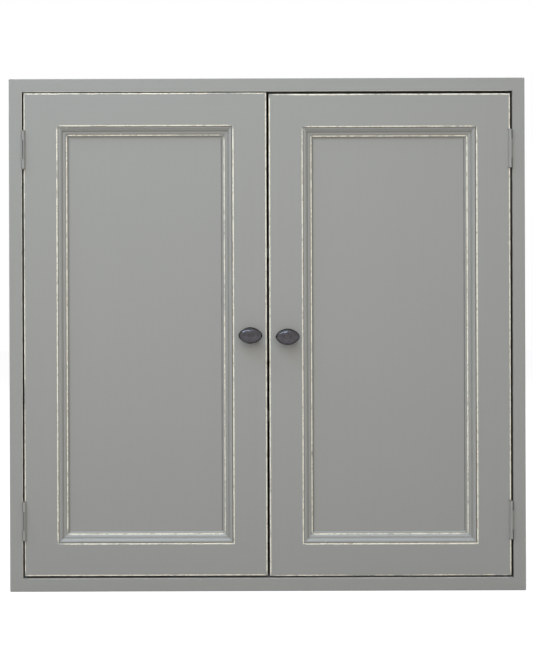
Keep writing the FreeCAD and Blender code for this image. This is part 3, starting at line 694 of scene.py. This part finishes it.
def metalMaterial(name, look, waxAndShade=None):
    # With a dentScale, the surface is beaten into shallow facets, dentDepth in bumps
    grain = metalGrain
    material, tree = startMaterial(name)
    spot = objectSpot(tree)
    height = noise(tree, spot, look["cloudScale"], grain["detail"], roughness=grain["roughness"])
    off = fromMiddle(tree, height)
    tone = calc(tree, "MULTIPLY_ADD", off, look["cloudTone"], 1.0)
    rough = calc(tree, "MULTIPLY_ADD", off, grain["roughSwing"], look["roughness"])
    dentScale = look.get("dentScale")
    if dentScale:
        clouds = addNode(tree, "TexNoise", {"Vector": spot, "Scale": dentScale}).outputs["Color"]
        wander = scaleColour(tree, clouds, grain["dentWander"] / dentScale)
        bent = addNode(tree, "VectorMath", {0: spot, 1: wander}, operation="ADD").outputs[0]
        cells = {"Vector": bent, "Scale": dentScale, "Smoothness": grain["dentSmoothness"]}
        dents = addNode(tree, "TexVoronoi", cells, feature="SMOOTH_F1").outputs["Distance"]
        dentOff = calc(tree, "SUBTRACT", dents, grain["dentMiddle"])
        tone = calc(tree, "MULTIPLY_ADD", dentOff, grain["dentTone"], tone)
        height = calc(tree, "MULTIPLY_ADD", dents, look["dentDepth"], height)
    # dark wax and painted shade at the rim and behind the crown
    if waxAndShade:
        waxAndShadeMask = placeGroup(tree, rimWaxAndShade, waxAndShade)["Mask"]
        tone = product(tree, tone, calc(tree, "MULTIPLY_ADD", waxAndShadeMask, -grain["waxAndShadeDarkening"], 1.0))
    tinted = scaleColour(tree, look["colour"], tone)
    return finishMaterial(material, tree, tinted, rough, height, look["bump"], metallic=1.0)


def mattMaterial(name, look):
    material, tree = startMaterial(name)
    grain = noise(tree, objectSpot(tree), look["grainScale"], mattGrain["detail"])
    off = fromMiddle(tree, grain)
    tinted = scaleColour(tree, look["colour"], calc(tree, "MULTIPLY_ADD", off, mattGrain["swing"], 1.0))
    rough = calc(tree, "MULTIPLY_ADD", off, mattGrain["swing"], look["roughness"])
    return finishMaterial(material, tree, tinted, rough, grain, look["bump"])


steel = metalMaterial("zincPlatedSteel", steelLook)
plastic = mattMaterial("catchPlastic", plasticLook)
ferrite = mattMaterial("ferrite", ferriteLook)
for side in sides:
    dress(side + "_hinge_pins", steel)
    dress(side + "_strike_plate", steel)
    dress(side + "_catch_case", plastic)
print("metals and plastic mixed")


# Modelling helpers
def chooseOnly(*pieces):
    bpy.ops.object.select_all(action="DESELECT")
    for piece in pieces:
        piece.select_set(True)
    bpy.context.view_layer.objects.active = pieces[0]


def turnedForm(name, points, sections):
    # A closed form round the Z axis, through sections of (height, radius)
    bpy.ops.object.select_all(action="DESELECT")
    height, radius = sections[0]
    bpy.ops.mesh.primitive_circle_add(vertices=points, radius=radius, fill_type="NGON", location=(0, 0, height))
    form = bpy.context.object
    form.name = name
    bpy.ops.object.transform_apply()
    bpy.ops.object.mode_set(mode="EDIT")
    bpy.ops.mesh.select_all(action="SELECT")
    for (low, before), (high, after) in zip(sections, sections[1:]):
        bpy.ops.mesh.extrude_region_move(TRANSFORM_OT_translate={"value": (0, 0, high - low)})
        bpy.ops.transform.resize(value=(after / before, after / before, 1), center_override=(0, 0, high))
    bpy.ops.mesh.select_all(action="SELECT")
    bpy.ops.mesh.normals_make_consistent(inside=False)
    bpy.ops.object.mode_set(mode="OBJECT")
    return form


def applyModifier(piece, kind, **settings):
    modifier = piece.modifiers.new(kind.title(), kind)
    for key, value in settings.items():
        setattr(modifier, key, value)
    chooseOnly(piece)
    bpy.ops.object.modifier_apply(modifier=modifier.name)


def finishPiece(piece, node, body, materials):
    # An applied piece that stands for a CAD node
    piece.data.materials.clear()
    for material in materials:
        piece.data.materials.append(material)
    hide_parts(node)
    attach(piece, body)


# Knobs: forged iron, oval, with a domed crown that the hammer left uneven
knobForm = {
    "sections": [(0.00, 0.47), (0.07, 0.46), (0.15, 0.36), (0.29, 0.31), (0.40, 0.50), (0.50, 0.80), (0.59, 0.965),
                 (0.65, 1.00), (0.71, 0.985), (0.80, 0.90), (0.89, 0.73), (0.95, 0.52), (0.98, 0.28)],
    "points": 28, "fit": 0.985,        # kept this much inside the CAD knob
    "dentSize": 7 * mm, "dentDepth": 0.5 * mm,
    "pointed": 1.72,                   # 2 for a plain oval, less for more pointed ends
    "smoothing": 2, "rimShare": 0.62,  # of the projection, from the back to where the wax and painted shade begin
}
ironLook = {"colour": (0.078, 0.074, 0.080), "roughness": 0.22, "cloudScale": 480.0, "cloudTone": 0.6,
            "bump": 0.10 * mm, "dentScale": 210.0, "dentDepth": 3.0}
sameAngle = 0.01               # radians


def drawIn(form, points, power):
    # The diagonals of a round form come nearer to its axis, so that an oval's ends are pointed
    for step in range(1, points // 4):
        angle = 2 * math.pi * step / points
        share = (math.cos(angle) ** power + math.sin(angle) ** power) ** (-1 / power)
        bpy.ops.object.mode_set(mode="EDIT")
        bpy.ops.mesh.select_mode(type="VERT")
        bpy.ops.mesh.select_all(action="DESELECT")
        bpy.ops.object.mode_set(mode="OBJECT")
        for vertex in form.data.vertices:
            around = math.atan2(abs(vertex.co.y), abs(vertex.co.x))
            vertex.select = abs(around - angle) < sameAngle
        bpy.ops.object.mode_set(mode="EDIT")
        bpy.ops.transform.resize(value=(share, share, 1), center_override=(0, 0, 0))
        bpy.ops.object.mode_set(mode="OBJECT")


def makeKnob(side):
    low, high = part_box(side + "_knob")
    centre = (low + high) / 2
    length, projection, breadth = high - low
    fit = knobForm["fit"]
    knob = turnedForm(side + "Knob", knobForm["points"], knobForm["sections"])
    drawIn(knob, knobForm["points"], knobForm["pointed"])
    knob.scale = (length / 2 * fit, breadth / 2 * fit, projection * fit)
    knob.rotation_euler = Vector((0, -1, 0)).to_track_quat("Z", "Y").to_euler()
    knob.location = (centre.x, high.y, centre.z)
    chooseOnly(knob)
    bpy.ops.object.transform_apply()
    applyModifier(knob, "SUBSURF", levels=knobForm["smoothing"])
    dents = bpy.data.textures.new(side + "KnobDents", "CLOUDS")
    dents.noise_scale = knobForm["dentSize"]
    applyModifier(knob, "DISPLACE", texture=dents, texture_coords="LOCAL", strength=knobForm["dentDepth"])
    bpy.ops.object.shade_smooth()
    waxAndShade = {"Centre": centre, "Half Size": (length / 2, 0, breadth / 2),
              "Rim Y": high.y - projection * knobForm["rimShare"]}
    iron = metalMaterial(side + "ForgedIron", ironLook, waxAndShade)
    finishPiece(knob, side + "_knob", side + "_door", [iron])


for side in sides:
    makeKnob(side)
print("knobs made")


# Screws: slotted heads, and threads turned as rings
screwForms = {
    "leaf": {"headRadius": 2.9, "headDepth": 1.6, "sunk": True, "shankRadius": 1.5, "length": 14.0,
             "slotWidth": 0.9, "slotDepth": 0.8},
    "strike": {"headRadius": 2.9, "headDepth": 1.4, "sunk": True, "shankRadius": 1.5, "length": 12.0,
               "slotWidth": 0.9, "slotDepth": 0.7},
    "catch": {"headRadius": 2.8, "headDepth": 1.8, "sunk": False, "shankRadius": 1.5, "length": 13.8,
              "slotWidth": 0.9, "slotDepth": 1.0},
    "knob": {"headRadius": 4.2, "headDepth": 2.4, "sunk": False, "shankRadius": 2.0, "length": 31.9,
             "slotWidth": 1.2, "slotDepth": 1.3},
}
screwForm = {
    "points": 20, "turn": 0.9,     # radians between one screw's slot and the next one's
    "first": 0.4,                  # the first screw's slot
    "pitch": 1.1,                  # of the thread, in millimetres
    "threaded": 0.6,               # of the length
    "rim": 0.15,                   # height of a sunk head's rim, in millimetres
    "smoothTo": 35,                # degrees
}
# Shares of the head's radius and depth, and of the shank's radius
screwShares = {"sunkTop": 0.97, "crown": 0.72, "crownEnd": 0.2, "shoulder": 0.9, "shoulderEnd": 0.5,
               "root": 0.72, "rootPlace": 0.4, "taper": 0.35, "taperTurns": 3, "point": 0.15}


def makeScrew(key):
    # In metres, with the top of its head at the origin and its point towards +Z
    form, share, pitch = screwForms[key], screwShares, screwForm["pitch"]
    head, shank, depth = form["headRadius"], form["shankRadius"], form["headDepth"]
    if form["sunk"]:
        sections = [(0, head * share["sunkTop"]), (screwForm["rim"], head), (depth, shank)]
    else:
        sections = [(0, head * share["crown"]), (depth * share["crownEnd"], head * share["shoulder"]),
                    (depth * share["shoulderEnd"], head), (depth, head), (depth, shank)]
    start = form["length"] * (1 - screwForm["threaded"])
    sections.append((start, shank))
    turns = int((form["length"] - start) / pitch) - 1
    plain = turns - share["taperTurns"]
    for turn in range(turns):
        taper = 1 - share["taper"] * max(0, turn - plain) / share["taperTurns"]
        sections += [(start + (turn + share["rootPlace"]) * pitch, shank * share["root"] * taper),
                     (start + (turn + 1) * pitch, shank * taper)]
    sections.append((form["length"], shank * share["point"]))
    sections = [(height * mm, radius * mm) for height, radius in sections]
    screw = turnedForm(key + "Screw", screwForm["points"], sections)
    bpy.ops.mesh.primitive_cube_add(size=1)
    cutter = bpy.context.object
    cutter.scale = (3 * head * mm, form["slotWidth"] * mm, 2 * form["slotDepth"] * mm)
    bpy.ops.object.transform_apply()
    applyModifier(screw, "BOOLEAN", object=cutter, operation="DIFFERENCE")
    bpy.data.objects.remove(cutter)
    chooseOnly(screw)
    bpy.ops.object.shade_smooth_by_angle(angle=math.radians(screwForm["smoothTo"]))
    return screw


def driveScrews(node, body, pattern, direction, axis):
    # Copies of a screw in place of a CAD node's solids, which stand apart along the axis
    turn = direction.to_track_quat("Z", "Y").to_matrix().to_4x4()
    copies = []
    for number, (low, high) in enumerate(solidsOf(node, axis)):
        head = (low + high) / 2 - direction * abs((high - low).dot(direction)) / 2
        copy = pattern.copy()
        copy.data = pattern.data.copy()
        bpy.context.scene.collection.objects.link(copy)
        spin = Matrix.Rotation(screwForm["first"] + screwForm["turn"] * number, 4, "Z")
        copy.matrix_world = Matrix.Translation(head) @ turn @ spin
        copies.append(copy)
    chooseOnly(*copies)
    if len(copies) > 1:
        bpy.ops.object.join()
    bpy.ops.object.transform_apply()
    copies[0].name = node + "Slotted"
    finishPiece(copies[0], node, body, [steel])


patterns = {key: makeScrew(key) for key in screwForms}
for side in sides:
    outward = Vector((-1 if side == "left" else 1, 0, 0))
    door = side + "_door"
    driveScrews(side + "_frame_screws", "carcass", patterns["leaf"], outward, 2)
    driveScrews(side + "_door_screws", door, patterns["leaf"], -outward, 2)
    driveScrews(side + "_catch_screws", "carcass", patterns["catch"], Vector((0, 0, 1)), 0)
    driveScrews(side + "_knob_screw", door, patterns["knob"], Vector((0, -1, 0)), 2)
    driveScrews(side + "_strike_screw", door, patterns["strike"], Vector((0, -1, 0)), 2)
for pattern in patterns.values():
    bpy.data.objects.remove(pattern)
print("screws driven")


# Magnets: a block of ferrite between two steel pole plates
magnetForm = {"plate": 1.4 * mm, "recess": 0.5 * mm, "arris": 0.15 * mm, "bevelSteps": 2}


def makeMagnet(side):
    low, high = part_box(side + "_catch_magnet")
    middle = (low + high) / 2
    bpy.ops.object.select_all(action="DESELECT")
    bpy.ops.mesh.primitive_cube_add(size=1, location=middle)
    magnet = bpy.context.object
    magnet.name = side + "PoleMagnet"
    magnet.scale = high - low
    bpy.ops.object.transform_apply()
    bpy.ops.object.mode_set(mode="EDIT")
    bpy.ops.mesh.select_mode(type="FACE")
    for height in (low.z + magnetForm["plate"], high.z - magnetForm["plate"]):
        bpy.ops.mesh.select_all(action="SELECT")
        bpy.ops.mesh.bisect(plane_co=(middle.x, middle.y, height), plane_no=(0, 0, 1))
    bpy.ops.mesh.select_all(action="DESELECT")
    bpy.ops.object.mode_set(mode="OBJECT")
    for face in magnet.data.polygons:
        face.select = face.normal.y < -0.5 and abs(face.center.z - middle.z) < magnetForm["plate"]
    bpy.ops.object.mode_set(mode="EDIT")
    bpy.ops.mesh.extrude_region_move(TRANSFORM_OT_translate={"value": (0, magnetForm["recess"], 0)})
    bpy.ops.object.mode_set(mode="OBJECT")
    applyModifier(magnet, "BEVEL", width=magnetForm["arris"], segments=magnetForm["bevelSteps"])
    finishPiece(magnet, side + "_catch_magnet", "carcass", [steel, ferrite])
    for face in magnet.data.polygons:
        inMiddle = abs(face.center.z - middle.z) < (high.z - low.z) / 2 - magnetForm["plate"] - magnetForm["arris"]
        face.material_index = 1 if inMiddle else 0


for side in sides:
    makeMagnet(side)
print("magnets made")


# Floor and light
stageLook = {
    "floorSize": 16.0, "floorDrop": 0.3 * mm, "floorColour": (0.30, 0.30, 0.30, 1), "floorGlow": 0.84,
    "horizon": 0.20, "zenith": 0.55,       # the room's light at eye level and straight up
}
lamps = {
    "softKey": {"at": (-0.2, -1.75, 0.92), "size": (2.2, 1.5), "power": 18.4, "colour": (1, 0.98, 0.96),
                "reflected": False},
    "knobSpark": {"at": (-0.85, -1.25, 2.3), "size": (2.4, 0.26), "power": 26.0, "colour": (0.62, 0.82, 1.0),
                  "reflected": True},
    "leftFill": {"at": (-3.0, 2.2, 1.6), "size": (2.0, 2.0), "power": 55.0, "colour": (1, 1, 1), "reflected": True},
    "rightFill": {"at": (3.0, 2.2, 1.6), "size": (2.0, 2.0), "power": 55.0, "colour": (1, 1, 1), "reflected": True},
}


def makeFloor():
    bpy.ops.object.select_all(action="DESELECT")
    bpy.ops.mesh.primitive_plane_add(size=stageLook["floorSize"], location=(0, 0, -stageLook["floorDrop"]))
    floor = bpy.context.object
    floor.name = "studioFloor"
    bpy.ops.object.transform_apply()
    material, tree = startMaterial("studioFloor")
    path = addNode(tree, "LightPath").outputs
    seen = calc(tree, "MAXIMUM", path["Is Camera Ray"], path["Is Glossy Ray"])
    strength = product(tree, seen, stageLook["floorGlow"])
    glow = addNode(tree, "Emission", {"Color": (1, 1, 1, 1), "Strength": strength})
    matt = addNode(tree, "BsdfDiffuse", {"Color": stageLook["floorColour"]})
    both = addNode(tree, "AddShader", {0: matt.outputs[0], 1: glow.outputs[0]})
    tree.links.new(both.outputs[0], addNode(tree, "OutputMaterial").inputs[0])
    floor.data.materials.append(material)


def makeWorld():
    world = bpy.data.worlds.new("paleStudio")
    bpy.context.scene.world = world
    world.use_nodes = True
    tree = world.node_tree
    tree.nodes.clear()
    path = addNode(tree, "LightPath").outputs
    seen = calc(tree, "MAXIMUM", path["Is Camera Ray"], path["Is Glossy Ray"])
    seen = calc(tree, "MAXIMUM", seen, path["Is Transmission Ray"])
    rise = calc(tree, "MAXIMUM", axesOf(tree, objectSpot(tree))["Z"], 0.0)
    room = calc(tree, "MULTIPLY_ADD", rise, stageLook["zenith"] - stageLook["horizon"], stageLook["horizon"])
    strength = blendValue(tree, seen, room, 1.0)
    sky = addNode(tree, "Background", {"Color": (1, 1, 1, 1), "Strength": strength})
    tree.links.new(sky.outputs[0], addNode(tree, "OutputWorld").inputs[0])


def makeLamps():
    aim = Vector((0, carcassLow.y, (carcassLow.z + carcassHigh.z) / 2))
    for name, lamp in lamps.items():
        data = bpy.data.lights.new(name, "AREA")
        data.shape = "RECTANGLE"
        data.size, data.size_y = lamp["size"]
        data.energy = lamp["power"]
        data.color = lamp["colour"]
        light = bpy.data.objects.new(name, data)
        bpy.context.scene.collection.objects.link(light)
        light.location = lamp["at"]
        light.visible_glossy = lamp["reflected"]
        light.rotation_euler = (Vector(lamp["at"]) - aim).to_track_quat("Z", "Y").to_euler()


makeFloor()
makeWorld()
makeLamps()
print("stage and lamps set")
